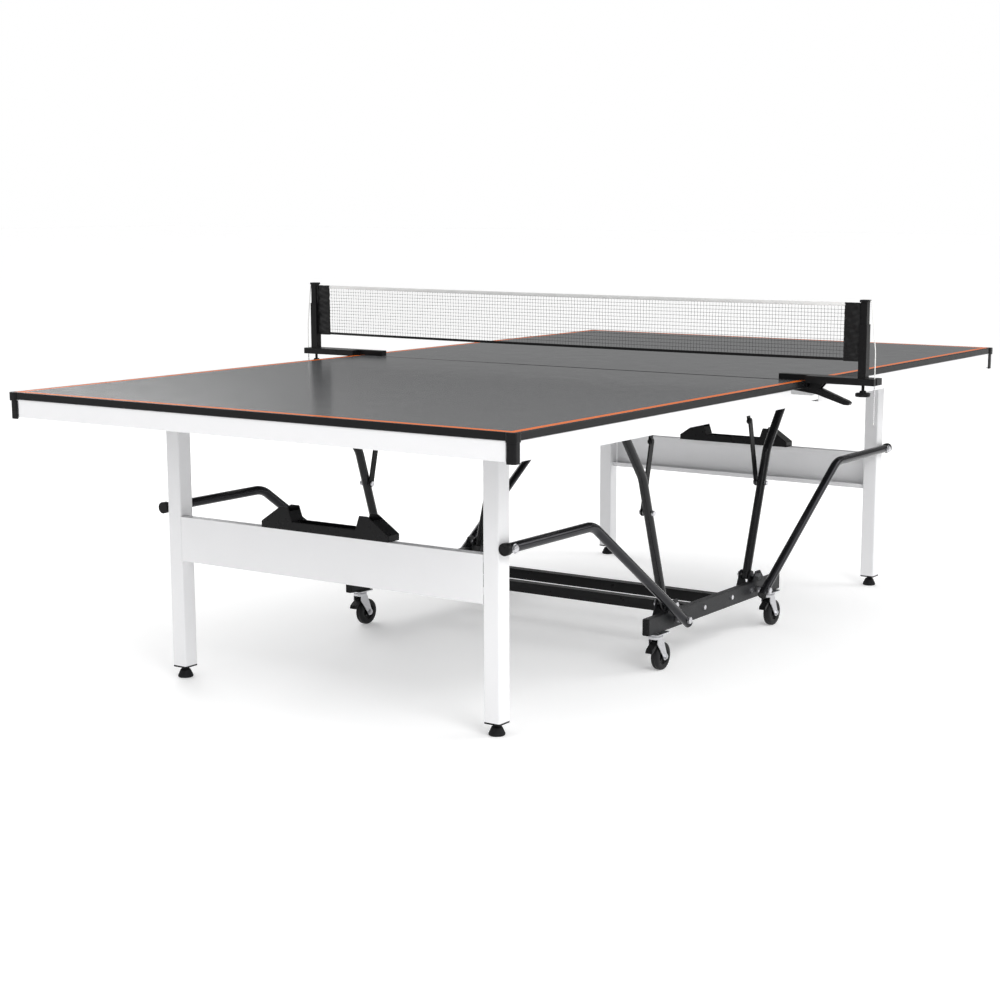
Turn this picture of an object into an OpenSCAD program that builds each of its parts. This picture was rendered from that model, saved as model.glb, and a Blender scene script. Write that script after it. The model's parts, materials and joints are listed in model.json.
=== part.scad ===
// Folding table tennis table: two half tops on bent support tubes, a wheeled trolley between them,
// an end leg frame under each half, and a clip-on net set. X runs along the table, Y across it, Z up.
// The origin is on the floor under the middle of the top. Sub-parts of a half are drawn for the
// half at +X and mirrored for the half at -X; what repeats left and right is drawn at +Y.

/* [Top] */
// Length of the whole playing surface
top_length = 2740; // [2280:10:3290]
// Width of the playing surface
top_width = 1525; // [1270:5:1830]
// Height of the playing surface above the floor
top_height = 760; // [634:2:912]
// Thickness of a half's board
board_t = 18; // [15:1:25]
// Open seam between the two halves
seam_gap = 9; // [9:0.5:16]
// Thickness of the band round a board
band_t = 3; // [2:0.5:5]

/* [Apron] */
// Height of the white apron rails
apron_h = 45; // [36:1:54]
// Depth of the apron channel
apron_d = 22; // [16:1:30]
// Wall of the apron channel
apron_wall = 2; // [1.5:0.5:3]
// Distance from the seam to the end of a side rail
apron_stop = 83; // [60:1:120]
// How far a corner cap stands proud of the edges
cap_proud = 4; // [2:0.5:6]
// Length of a corner cap along each edge
cap_leg = 24; // [18:1:32]

/* [Legs] */
// Width of the square leg tube
leg_w = 45; // [36:1:54]
// Wall of the leg tube
leg_wall = 1.5; // [1.2:0.1:3]
// Leg axis to the end of the top
leg_inset_x = 313; // [260:1:375]
// Leg axis to the side of the top
leg_inset_y = 265; // [220:1:320]
// Height of the underside of a leg above the floor
leg_base = 33; // [29:1:42]
// Lower edge of the cross panel
panel_low = 314; // [262:2:376]
// Height of the cross panel
panel_h = 116; // [96:2:140]
// Depth of the cross panel's channel
panel_d = 28; // [22:1:34]
// Leg axis to the hinge that the leg frame turns on
leg_hinge_back = 87; // [80:1:100]
// Diameter of a foot at the floor
foot_d = 40; // [34:1:46]

/* [Trolley] */
// Half the length of the trolley's side bars
bar_half = 375; // [360:1:450]
// Height of a side bar
bar_h = 45; // [38:1:54]
// Width of a side bar
bar_w = 20; // [18:1:24]
// Underside of the side bars above the floor
bar_low = 106; // [100:1:127]
// Width of the square cross bars
cross_w = 30; // [25:1:36]
// Cross bar axis from the middle of the trolley
cross_x = 80; // [66:1:96]
// Caster pivot from the middle of the trolley
caster_x = 326; // [290:1:345]
// Diameter of a caster wheel
wheel_d = 75; // [63:1:78]
// Width of a caster wheel
wheel_w = 22; // [18:1:24]
// Wheel axle behind the caster's pivot
trail = 27; // [22:1:32]

/* [Fold linkage] */
// Diameter of the bent tubes
tube_d = 25; // [20:1:26]
// Wall of the bent tubes
tube_wall = 1.5; // [1.2:0.1:3]
// Pivot of a support tube on the trolley, from the middle
foot_pivot_x = 240; // [200:1:288]
// Pivot of a half on its support tubes, from the middle
fold_pivot_x = 500; // [420:1:560]
// Depth of that pivot under the playing surface
fold_pivot_drop = 55; // [50:1:60]
// Pivot of a leg rod on the trolley, from the middle
rod_pivot_x = 235; // [196:1:282]
// Bend of a leg rod, from the middle
rod_bend_x = 700; // [600:5:840]
// Height of a leg rod at the leg
rod_leg_z = 448; // [380:2:520]
// Diameter of the main pivot pins
pin_d = 10; // [8:0.5:12]
// Radial running clearance of a pin
pin_play = 0.08; // [0.03:0.01:0.1]

/* [Net set] */
// Post axis outside the side of the top
post_out = 162.5; // [140:0.5:190]
// Width of the fixed post tube
post_w = 22; // [19:1:26]
// Top of a post above the playing surface
post_rise = 218; // [200:1:250]
// Bottom of the net above the playing surface
net_gap = 57; // [57:1:80]
// Height of the net cloth
net_h = 154; // [130:1:160]
// Thickness of the net cloth with its tapes
net_t = 3; // [2:0.5:5]
// Reach of a clamp arm over the top
arm_reach = 87.5; // [73:0.5:105]
// Near face of a clamp arm from the middle of the seam
arm_x = 12; // [12:1:20]
// Width of a clamp arm
arm_w = 24; // [20:1:29]
// Thickness of a clamp arm
arm_t = 15; // [12:1:18]

/* [Tray] */
// Half the length of a tray
tray_half = 200; // [170:1:240]
// Depth of a tray
tray_d = 44; // [36:1:52]
// Wall of a tray
tray_wall = 3; // [2:0.5:4]
// Half the length of the tray's middle well
tray_well = 95; // [80:1:110]
// Height of the bar across the middle
tray_bar = 22; // [18:1:26]
// Height of the two wedges
tray_peak = 57; // [46:1:68]

/* [Hidden] */
// Hairline left at the mitre of a tube and where a rail meets a side channel
weld_line = 0.2;

$fn = 48;
half_l = top_length / 2;
half_w = top_width / 2;
board_low = top_height - board_t;
apron_low = board_low - apron_h;
leg_x = half_l - leg_inset_x;
leg_y = half_w - leg_inset_y;
leg_in = leg_y - leg_w / 2;
leg_out = leg_y + leg_w / 2;
leg_face = leg_x + leg_w / 2;
panel_top = panel_low + panel_h;
seat_gap = 0.3;               // air between pieces that only rest beside each other
rail_t = 12;                  // height of the rails under a board
rail_w = 50;                  // width of the rails under a board
inner_rail_h = 30;            // height of the rail beside the seam
ear_t = 4;                    // thickness of bracket ears
bore_d = pin_d + 2 * pin_play;

bar_top = bar_low + bar_h;
bar_y = leg_y + 2.5;
bar_in = bar_y - bar_w / 2;
bar_out = bar_y + bar_w / 2;
tube_y = bar_in - ear_t - 1.5 - tube_d / 2;
rod_y = leg_out + 3.5 + tube_d / 2;

// Pivots of the fold linkage, as [x, z] for the half at +X
foot_pivot = [foot_pivot_x, bar_top + 14];
fold_pivot = [fold_pivot_x, top_height - fold_pivot_drop];
tube_bend = foot_pivot + [115, 0.657 * (fold_pivot[1] - foot_pivot[1])];
leg_hinge = [leg_x - leg_hinge_back, board_low - rail_t - 18];
rod_foot = [rod_pivot_x, bar_low + 22];
rod_knee = [rod_bend_x, rod_leg_z];
rod_head = [leg_x, rod_leg_z];
tube_over = 12;               // how far a tube runs past its pivot
rod_over = 21;                // how far a rod runs past its pivot

// Folding lock stay: bolt on the tube, knee, and pivot under the board
stay_pin_d = 8;
stay_bore_d = stay_pin_d + 2 * pin_play;
stay_t = 4;
stay_w = 20;
tube_dir = (tube_bend - foot_pivot) / norm(tube_bend - foot_pivot);
stay_bolt = foot_pivot + 272 * tube_dir;
stay_top = [fold_pivot_x - 246, board_low - 27];
stay_knee = stay_bolt + (stay_top - stay_bolt) * 187 / 300;
tube_in = tube_y - tube_d / 2;
tube_out = tube_y + tube_d / 2;
stay_low_y = tube_in - 2.5 - stay_t;
stay_up_y = stay_low_y - 0.5 - stay_t;

// Casters
plate_t = 3;
crown_z = bar_low - plate_t - 5;
crown_t = 7.7;
fork_t = 2.5;
fork_in = wheel_w / 2 + 2;
axle_d = 8;
axle_bore_d = axle_d + 2 * pin_play;
axle_z = wheel_d / 2;
hub_d = wheel_d - 29;
pedal_w = wheel_w - 2;
pedal_pin_d = 5;
pedal_pivot = [2, crown_z - crown_t - 11];

// Feet
plug_t = 4;
stud_d = 8;
stud_bore_d = stud_d + 2 * pin_play;
nut_t = 6.7;
cone_h = leg_base - plug_t - nut_t - seat_gap;

// Net set, at +Y
post_y = half_w + post_out;
post_top = top_height + post_rise;
arm_low = top_height - 3;
arm_end = post_y + 37;
slide_w = post_w - 4;
slide_travel = 55;
slide_low = arm_low + 5 + 3 + slide_travel;
post_tube_top = post_top - 6 - 2 - slide_travel;
jaw_pin_d = 6;
jaw_bore_d = jaw_pin_d + 2 * pin_play;
jaw_pivot = [half_w + 13.5, board_low - 2];
net_low = top_height + net_gap;
sleeve_end = post_y - post_w / 2 - 0.5;
knob_d = 40;
knob_t = 10;
knob_z = top_height - 33;
cord_d = 2.5;
cord_sides = 8;
// Route of a tension cord from the post cap to its hanging end, as [y from the post axis, z from the top]
cord_route = [
  [12.8, 215], [14.5, 215], [16, 213.5], [17, 211], [18, 206], [19.5, 196], [21, 184], [22.5, 171],
  [24, 157], [25.5, 143], [27, 129], [28.5, 115], [30, 102], [31.3, 90], [32, 78], [32, 66],
  [32, 50], [32, 34], [32, 18], [32, 2], [32, -14], [32, -30], [32, -46], [32, -62], [32, -78],
  [32, -92], [32, -105]
];

// ---------- shared shapes ----------

// Outline of a rectangle with rounded corners
function rounded_rect(w, h, r, n = 4) = [
  for (c = [[w / 2 - r, h / 2 - r, 0], [r - w / 2, h / 2 - r, 90],
            [r - w / 2, r - h / 2, 180], [w / 2 - r, r - h / 2, 270]])
    for (i = [0 : n]) [c[0] + r * cos(c[2] + 90 * i / n), c[1] + r * sin(c[2] + 90 * i / n)]
];

// Draws its children again on the other side of the table
module on_both_sides() {
  children();
  mirror([0, 1, 0]) children();
}

// Stands an outline drawn in [x, z] upright, from y0 to y1
module plate_xz(y0, y1) {
  translate([0, y1, 0]) rotate([90, 0, 0]) linear_extrude(y1 - y0) children();
}

// Stands an outline drawn in [y, z] upright, from x0 to x1
module plate_yz(x0, x1) {
  translate([x0, 0, 0]) rotate([90, 0, 90]) linear_extrude(x1 - x0) children();
}

// Round bar along Y through p = [x, z]
module pin_y(p, y0, y1, d) {
  translate([p[0], y1, p[1]]) rotate([90, 0, 0]) cylinder(d = d, h = y1 - y0);
}

// Hexagon head or nut along Y at p = [x, z]
module hex_y(p, y0, y1, across) {
  translate([p[0], y1, p[1]]) rotate([90, 0, 0]) cylinder(d = across / cos(30), h = y1 - y0, $fn = 6);
}

// Flat link between a and b, with round ends
module link_shape(a, b, w) {
  v = b - a;
  translate(a) rotate(atan2(v[1], v[0])) {
    translate([0, -w / 2]) square([norm(v), w]);
    circle(d = w);
    translate([norm(v), 0]) circle(d = w);
  }
}

// Tube through the points [x, z] of route, in the plane y = 0, mitred and welded where it bends
module bent_tube(route, d, wall) {
  last = len(route) - 2;
  heading = [for (i = [0 : last]) atan2(route[i + 1][0] - route[i][0], route[i + 1][1] - route[i][1])];
  for (i = [0 : last]) {
    run = norm(route[i + 1] - route[i]);
    before = i == 0 ? 0 : d;
    after = i == last ? 0 : d;
    translate([route[i][0], 0, route[i][1]]) rotate([0, heading[i], 0]) difference() {
      translate([0, 0, -before]) cylinder(d = d, h = run + before + after);
      if (i > 0)
        rotate([0, (heading[i - 1] - heading[i]) / 2, 0])
          translate([-2 * d, -2 * d, weld_line / 2 - 4 * d]) cube(4 * d);
      if (i < last)
        translate([0, 0, run]) rotate([0, (heading[i + 1] - heading[i]) / 2, 0])
          translate([-2 * d, -2 * d, -weld_line / 2]) cube(4 * d);
      translate([0, 0, -2 * d]) cylinder(d = d - 2 * wall, h = run + 4 * d);
    }
  }
}

// Hollow rectangular bar along X
module box_tube_x(x0, x1, y0, z0, w, h, wall) {
  difference() {
    translate([x0, y0, z0]) cube([x1 - x0, w, h]);
    translate([x0 - 1, y0 + wall, z0 + wall]) cube([x1 - x0 + 2, w - 2 * wall, h - 2 * wall]);
  }
}

// Channel outline, web at the left, open to the right
function channel(w, h, t) = [[0, 0], [w, 0], [w, t], [t, t], [t, h - t], [w, h - t], [w, h], [0, h]];

// Channel outline that lies on its web, w wide and centred, open upwards
function tray_channel(w, h, t) = [
  [-w / 2, 0], [w / 2, 0], [w / 2, h], [w / 2 - t, h], [w / 2 - t, t], [t - w / 2, t], [t - w / 2, h], [-w / 2, h]
];

// ---------- one half of the top ----------

module board() {
  color("darkslategray") translate([seam_gap / 2 + band_t, band_t - half_w, board_low])
    cube([half_l - seam_gap / 2 - 2 * band_t, top_width - 2 * band_t, board_t]);
}

module edge_band() {
  color("black") difference() {
    translate([seam_gap / 2, -half_w, board_low]) cube([half_l - seam_gap / 2, top_width, board_t]);
    translate([seam_gap / 2 + band_t, band_t - half_w, board_low - 1])
      cube([half_l - seam_gap / 2 - 2 * band_t, top_width - 2 * band_t, board_t + 2]);
  }
}

// Two side channels, an end channel, the rail beside the seam and two rails that carry the hinges
module apron() {
  inset = 2.5;
  rail_end = half_w - inset - apron_d - weld_line;
  color("white") {
    on_both_sides() translate([apron_stop, 0, apron_low]) rotate([90, 0, 90])
      linear_extrude(half_l - inset - apron_stop)
        translate([half_w - inset, 0]) mirror([1, 0]) polygon(channel(apron_d, apron_h, apron_wall));
    translate([0, rail_end, apron_low]) rotate([90, 0, 0]) linear_extrude(2 * rail_end)
      translate([half_l - inset, 0]) mirror([1, 0]) polygon(channel(apron_d, apron_h, apron_wall));
    translate([0, rail_end, board_low - inner_rail_h]) rotate([90, 0, 0]) linear_extrude(2 * rail_end)
      translate([apron_stop, 0]) polygon(channel(apron_d, inner_rail_h, apron_wall));
    for (x = [fold_pivot_x, leg_hinge[0]])
      translate([x, rail_end, board_low - rail_t]) rotate([90, 0, 0]) linear_extrude(2 * rail_end)
        polygon(tray_channel(rail_w, rail_t, apron_wall));
  }
}

// Moulded bumper round each outer corner, thicker at the board than at the apron
module corner_caps() {
  tail_h = 4;                 // how far a cap reaches below the apron
  color("black") on_both_sides() translate([half_l, half_w, 0]) {
    difference() {
      translate([0, 0, board_low - 3]) linear_extrude(board_t + 3)
        translate([(cap_proud - cap_leg) / 2, (cap_proud - cap_leg) / 2])
          polygon(rounded_rect(cap_leg + cap_proud, cap_leg + cap_proud, 8));
      translate([-cap_leg - 1, -cap_leg - 1, board_low - 4]) cube([cap_leg + 1, cap_leg + 1, board_t + 10]);
    }
    difference() {
      translate([0, 0, apron_low - tail_h]) linear_extrude(apron_h + tail_h - 3)
        translate([(1 - cap_leg) / 2, (1 - cap_leg) / 2])
          polygon(rounded_rect(cap_leg + 1, cap_leg + 1, 7));
      translate([-cap_leg - 1, -cap_leg - 1, apron_low - tail_h - 1])
        cube([cap_leg - 1.5, cap_leg - 1.5, apron_h + tail_h]);
    }
  }
}

// Ear that hangs from the height top and is bored round the pivot p
module ear(p, top, y0, y1, w, d) {
  difference() {
    union() {
      plate_xz(y0, y1) polygon([[p[0] - w / 2 - 8, top], [p[0] - w / 2, p[1]], [p[0] + w / 2, p[1]],
                                [p[0] + w / 2 + 8, top]]);
      pin_y(p, y0, y1, w);
    }
    pin_y(p, y0 - 1, y1 + 1, d);
  }
}

// Hinge ears of a half: for its support tubes, its lock stays and its leg frame, with their pins
module brackets() {
  rail_low = board_low - rail_t;
  color("dimgray") on_both_sides() {
    for (y = [tube_in - 1 - ear_t, tube_out + 1]) ear(fold_pivot, rail_low, y, y + ear_t, 26, pin_d);
    pin_y(fold_pivot, tube_in - 8, tube_out + 8, pin_d);
    hex_y(fold_pivot, tube_in - 11, tube_in - 5.2, 17);
    hex_y(fold_pivot, tube_out + 5.2, tube_out + 11, 17);
    for (y = [stay_up_y - 1.5 - 3, stay_up_y + stay_t + 1.5]) ear(stay_top, board_low, y, y + 3, 20, stay_pin_d);
    pin_y(stay_top, stay_up_y - 6, stay_up_y + stay_t + 6, stay_pin_d);
    for (y = [leg_in + 1, leg_out - 1 - ear_t]) ear(leg_hinge, rail_low, y, y + ear_t, 24, pin_d);
    pin_y(leg_hinge, leg_in - 2, leg_out + 2, pin_d);
  }
}

// ---------- support tubes and lock stays ----------

module support_tubes() {
  top_dir = (fold_pivot - tube_bend) / norm(fold_pivot - tube_bend);
  color("black") on_both_sides() difference() {
    translate([0, tube_y, 0])
      bent_tube([foot_pivot - tube_dir * tube_over, tube_bend, fold_pivot + top_dir * tube_over],
                tube_d, tube_wall);
    pin_y(foot_pivot, tube_in - 1, tube_out + 1, bore_d);
    pin_y(fold_pivot, tube_in - 1, tube_out + 1, bore_d);
    pin_y(stay_bolt, tube_in - 1, tube_out + 1, stay_bore_d);
  }
}

module stay_bolts() {
  color("silver") on_both_sides() {
    pin_y(stay_bolt, stay_low_y - 3, tube_out + 4, stay_pin_d);
    pin_y(stay_bolt, stay_low_y + stay_t + seat_gap, tube_in - pin_play, 14);
    pin_y(stay_bolt, stay_low_y - 5, stay_low_y - seat_gap, 14);
    hex_y(stay_bolt, tube_out + pin_play, tube_out + 7, 13);
  }
}

module stay_lower() {
  color("black") on_both_sides() {
    difference() {
      plate_xz(stay_low_y, stay_low_y + stay_t) link_shape(stay_bolt, stay_knee, stay_w);
      pin_y(stay_bolt, stay_low_y - 1, stay_low_y + stay_t + 1, stay_bore_d);
    }
    pin_y(stay_knee, stay_low_y + stay_t, stay_low_y + stay_t + 2, 12);
  }
}

module stay_upper() {
  color("black") on_both_sides() {
    difference() {
      plate_xz(stay_up_y, stay_up_y + stay_t) link_shape(stay_knee, stay_top, stay_w - 4);
      pin_y(stay_top, stay_up_y - 1, stay_up_y + stay_t + 1, stay_bore_d);
    }
    pin_y(stay_knee, stay_up_y - 3, stay_up_y, 12);
  }
}

// ---------- leg frame ----------

// Square legs with the plates that reach back to the leg hinge
module legs() {
  arm_gap = 6;
  leg_top = leg_hinge[1] + 13;
  color("white") on_both_sides() {
    translate([leg_x, leg_y, leg_base]) linear_extrude(leg_top - leg_base) difference() {
      polygon(rounded_rect(leg_w, leg_w, 4));
      polygon(rounded_rect(leg_w - 2 * leg_wall, leg_w - 2 * leg_wall, 2.5));
    }
    for (y = [leg_in + arm_gap, leg_out - arm_gap - ear_t]) difference() {
      union() {
        plate_xz(y, y + ear_t) polygon([
          [leg_hinge[0], leg_hinge[1] - 13], [leg_hinge[0], leg_hinge[1] + 13],
          [leg_x - leg_w / 2, leg_hinge[1] + 13], [leg_x - leg_w / 2, leg_hinge[1] - 40]
        ]);
        pin_y(leg_hinge, y, y + ear_t, 26);
      }
      pin_y(leg_hinge, y - 1, y + ear_t + 1, bore_d);
    }
  }
}

// Folded steel panel between the legs, open towards the trolley
module leg_panel() {
  wall = 2;
  lip = 14;
  color("white") translate([0, leg_in, 0]) rotate([90, 0, 0]) linear_extrude(2 * leg_in)
    translate([leg_face, panel_low]) mirror([1, 0]) polygon([
      [0, 0], [panel_d, 0], [panel_d, lip], [panel_d - wall, lip], [panel_d - wall, wall], [wall, wall],
      [wall, panel_h - wall], [panel_d - wall, panel_h - wall], [panel_d - wall, panel_h - lip],
      [panel_d, panel_h - lip], [panel_d, panel_h], [0, panel_h]
    ]);
}

// Storage tray on the cross panel: a trough with a raised wedge at each end
module tray() {
  z0 = panel_top;
  color("black") difference() {
    plate_yz(leg_face - tray_d, leg_face) polygon([
      [-tray_half, z0], [tray_half, z0], [tray_half, z0 + 16], [138, z0 + tray_peak], [112, z0 + tray_peak],
      [tray_well + 5, z0 + tray_bar], [-tray_well - 5, z0 + tray_bar], [-112, z0 + tray_peak],
      [-138, z0 + tray_peak], [-tray_half, z0 + 16]
    ]);
    translate([leg_face - tray_d + tray_wall, -tray_well, z0 + 4])
      cube([tray_d - 2 * tray_wall, 2 * tray_well, tray_bar]);
    on_both_sides() plate_yz(leg_face - tray_d + tray_wall, leg_face - tray_wall) polygon([
      [tray_well + 14, z0 + 5], [184, z0 + 5], [184, z0 + 20], [140, z0 + tray_peak + 1],
      [tray_well + 14, z0 + tray_peak + 1]
    ]);
  }
}

module leg_plugs() {
  plug_w = leg_w - 2 * leg_wall - 0.4;
  color("black") on_both_sides() translate([leg_x, leg_y, 0]) difference() {
    union() {
      translate([0, 0, leg_base - plug_t]) linear_extrude(plug_t) polygon(rounded_rect(leg_w, leg_w, 4));
      translate([0, 0, leg_base]) linear_extrude(22) polygon(rounded_rect(plug_w, plug_w, 2.3));
    }
    cylinder(d = stud_bore_d, h = leg_base + 40);
  }
}

// Screw foot at one leg, side = 1 or -1
module screw_foot(side) {
  color("black") translate([leg_x, side * leg_y, 0]) {
    rotate_extrude() polygon([
      [0, 0], [foot_d / 2 - 2, 0], [foot_d / 2, 2], [foot_d / 2, 5], [foot_d / 2 - 7, cone_h - 2],
      [foot_d / 2 - 9, cone_h], [0, cone_h]
    ]);
    translate([0, 0, cone_h]) cylinder(d = 13 / cos(30), h = nut_t, $fn = 6);
    translate([0, 0, cone_h]) cylinder(d = stud_d, h = leg_base + 42 - cone_h);
  }
}

// ---------- leg rods ----------

module leg_rods() {
  foot_dir = (rod_foot - rod_knee) / norm(rod_foot - rod_knee);
  color("dimgray") on_both_sides() difference() {
    translate([0, rod_y, 0])
      bent_tube([rod_foot + foot_dir * rod_over, rod_knee, rod_head + [rod_over, 0]], tube_d, tube_wall);
    pin_y(rod_foot, rod_y - tube_d, rod_y + tube_d, bore_d);
    pin_y(rod_head, rod_y - tube_d, rod_y + tube_d, bore_d);
  }
}

// Bolt at the leg, push-on cap at the leg end and plug at the trolley end of each rod
module rod_fittings() {
  cap_d = tube_d + 5;
  foot_dir = (rod_foot - rod_knee) / norm(rod_foot - rod_knee);
  rod_in = rod_y - tube_d / 2;
  rod_out = rod_y + tube_d / 2;
  color("black") on_both_sides() {
    pin_y(rod_head, leg_out + seat_gap, rod_out + 2, pin_d);
    pin_y(rod_head, leg_out + seat_gap, rod_in - 0.1, 18);
    hex_y(rod_head, rod_out + 0.1, rod_out + 6, 17);
    translate([rod_head[0] + rod_over - 10, rod_y, rod_head[1]]) rotate([0, 90, 0]) difference() {
      cylinder(d = cap_d, h = 14);
      translate([0, 0, -1]) cylinder(d = tube_d + 0.1, h = 11);
    }
    translate([rod_foot[0] + foot_dir[0] * rod_over, rod_y, rod_foot[1] + foot_dir[1] * rod_over])
      rotate([0, atan2(foot_dir[0], foot_dir[1]), 0]) cylinder(d = tube_d, h = 3);
  }
}

// ---------- trolley ----------

module side_bars() {
  color("dimgray") on_both_sides() box_tube_x(-bar_half, bar_half, bar_in, bar_low, bar_w, bar_h, 2);
}

module bar_caps() {
  color("black") on_both_sides() for (side = [-1, 1]) {
    translate([side * (bar_half + 2), bar_y, bar_low + bar_h / 2]) rotate([0, 90, 0]) rotate(90)
      linear_extrude(4, center = true) polygon(rounded_rect(bar_w, bar_h, 3));
    translate([side * (bar_half - 7), bar_y, bar_low + bar_h / 2])
      cube([14, bar_w - 4.4, bar_h - 4.4], center = true);
  }
}

module cross_bars() {
  color("black") for (side = [-1, 1]) difference() {
    translate([side * cross_x - cross_w / 2, -bar_in, bar_low]) cube([cross_w, 2 * bar_in, cross_w]);
    translate([side * cross_x - cross_w / 2 + 2, -bar_in - 1, bar_low + 2])
      cube([cross_w - 4, 2 * bar_in + 2, cross_w - 4]);
  }
}

// Cradle for the foot of each support tube: two ears on a base beside the bar, and a plate on the bar
module tube_brackets() {
  base_z = bar_low + 14;
  p = foot_pivot;
  color("dimgray") on_both_sides() for (side = [0, 1]) mirror([side, 0, 0]) {
    for (y = [tube_in - 1 - ear_t, bar_in - ear_t]) difference() {
      union() {
        plate_xz(y, y + ear_t) polygon([[p[0] - 35, base_z], [p[0] - 14, p[1]], [p[0] + 14, p[1]],
                                        [p[0] + 35, base_z]]);
        pin_y(p, y, y + ear_t, 28);
      }
      pin_y(p, y - 1, y + ear_t + 1, pin_d);
    }
    translate([p[0] - 35, tube_in - 1, base_z]) cube([70, bar_in - ear_t - tube_in + 1, ear_t]);
    difference() {
      plate_xz(bar_out - ear_t, bar_out) polygon([[p[0] - 30, bar_top], [p[0] - 12, p[1] + 16],
                                                 [p[0] + 14, p[1] + 16], [p[0] + 42, bar_top]]);
      pin_y(p, bar_in, bar_out + 1, pin_d);
    }
  }
}

// Pivot bolts of the support tubes and leg rods, and the bolts that hold the cross bars
module trolley_bolts() {
  rod_out = rod_y + tube_d / 2;
  color("silver") on_both_sides() for (side = [0, 1]) mirror([side, 0, 0]) {
    pin_y(foot_pivot, tube_in - 9, bar_out + 3, pin_d);
    hex_y(foot_pivot, tube_in - 11, tube_in - 5, 17);
    hex_y(foot_pivot, bar_out, bar_out + 6, 17);
    pin_y(rod_foot, bar_out, rod_out + 3, pin_d);
    pin_y(rod_foot, bar_out, rod_y - tube_d / 2 - seat_gap, 18);
    hex_y(rod_foot, rod_out + seat_gap, rod_out + 6, 17);
    for (x = [cross_x, cross_x + 120]) hex_y([x, bar_low + 25], bar_out, bar_out + 4, 12);
  }
}

// Top plate, bearing cup and king pin of every caster
module caster_plates() {
  king_d = 10;
  color("silver") on_both_sides() for (side = [-1, 1]) translate([side * caster_x, bar_y, 0]) {
    translate([0, 0, bar_low - plate_t]) linear_extrude(plate_t) polygon(rounded_rect(66, 50, 6));
    translate([0, 0, crown_z]) cylinder(d = 36, h = bar_low - plate_t - crown_z);
    translate([0, 0, crown_z - crown_t - 2]) cylinder(d = king_d, h = crown_t + 3);
    translate([0, 0, crown_z - crown_t - 4]) cylinder(d = 15, h = 4 - seat_gap);
  }
}

// Where caster number i stands, as [x, y]
function caster_at(i) = [(i > 2 ? 1 : -1) * caster_x, (i % 2 == 1 ? 1 : -1) * bar_y];

// Swivel crown with two cheeks, the wheel's axle and the pedal's pin
module caster_fork(i) {
  z1 = crown_z - seat_gap;
  z0 = crown_z - crown_t;
  color("silver") translate([caster_at(i)[0], caster_at(i)[1], 0]) {
    difference() {
      translate([0, 0, z0]) cylinder(d = 40, h = z1 - z0);
      translate([0, 0, z0 - 1]) cylinder(d = 10 + 2 * pin_play, h = z1 - z0 + 2);
    }
    for (y = [-fork_in - fork_t, fork_in]) {
      plate_xz(y, y + fork_t) polygon([[-12, z0 + 3], [-13, z0 - 14], [trail - 10, axle_z - 2],
                                       [trail + 10, axle_z - 2], [13, z0 + 3]]);
      pin_y([trail, axle_z], y, y + fork_t, 20);
    }
    pin_y([trail, axle_z], -fork_in - fork_t - 5, fork_in + fork_t + 5, axle_d);
    hex_y([trail, axle_z], fork_in + fork_t, fork_in + fork_t + 4, 12);
    hex_y([trail, axle_z], -fork_in - fork_t - 4, -fork_in - fork_t, 12);
    pin_y(pedal_pivot, -fork_in - fork_t, fork_in + fork_t, pedal_pin_d);
  }
}

// Hub and tyre
module caster_wheel(i) {
  color("black") translate([caster_at(i)[0] + trail, caster_at(i)[1], axle_z]) rotate([90, 0, 0]) {
    difference() {
      cylinder(d = hub_d, h = wheel_w, center = true);
      cylinder(d = axle_bore_d, h = wheel_w + 2, center = true);
    }
    rotate_extrude($fn = 64) polygon([
      [hub_d / 2, -wheel_w / 2], [wheel_d / 2 - 5, -wheel_w / 2], [wheel_d / 2 - 1, -wheel_w / 2 + 3],
      [wheel_d / 2, -wheel_w / 2 + 7], [wheel_d / 2, wheel_w / 2 - 7], [wheel_d / 2 - 1, wheel_w / 2 - 3],
      [wheel_d / 2 - 5, wheel_w / 2], [hub_d / 2, wheel_w / 2]
    ]);
  }
}

// Brake pedal that rocks between the cheeks
module caster_brake(i) {
  p = pedal_pivot;
  color("black") translate([caster_at(i)[0], caster_at(i)[1], 0]) difference() {
    union() {
      plate_xz(-pedal_w / 2, pedal_w / 2) polygon([
        p + [4, 4], p + [-14, 0], p + [-36, -15], p + [-39, -24], p + [-33, -25], p + [-14, -10], p + [2, -5]
      ]);
      pin_y(p, -pedal_w / 2, pedal_w / 2, 11);
    }
    pin_y(p, -pedal_w, pedal_w, pedal_pin_d + 2 * pin_play);
  }
}

// ---------- net set ----------

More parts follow.
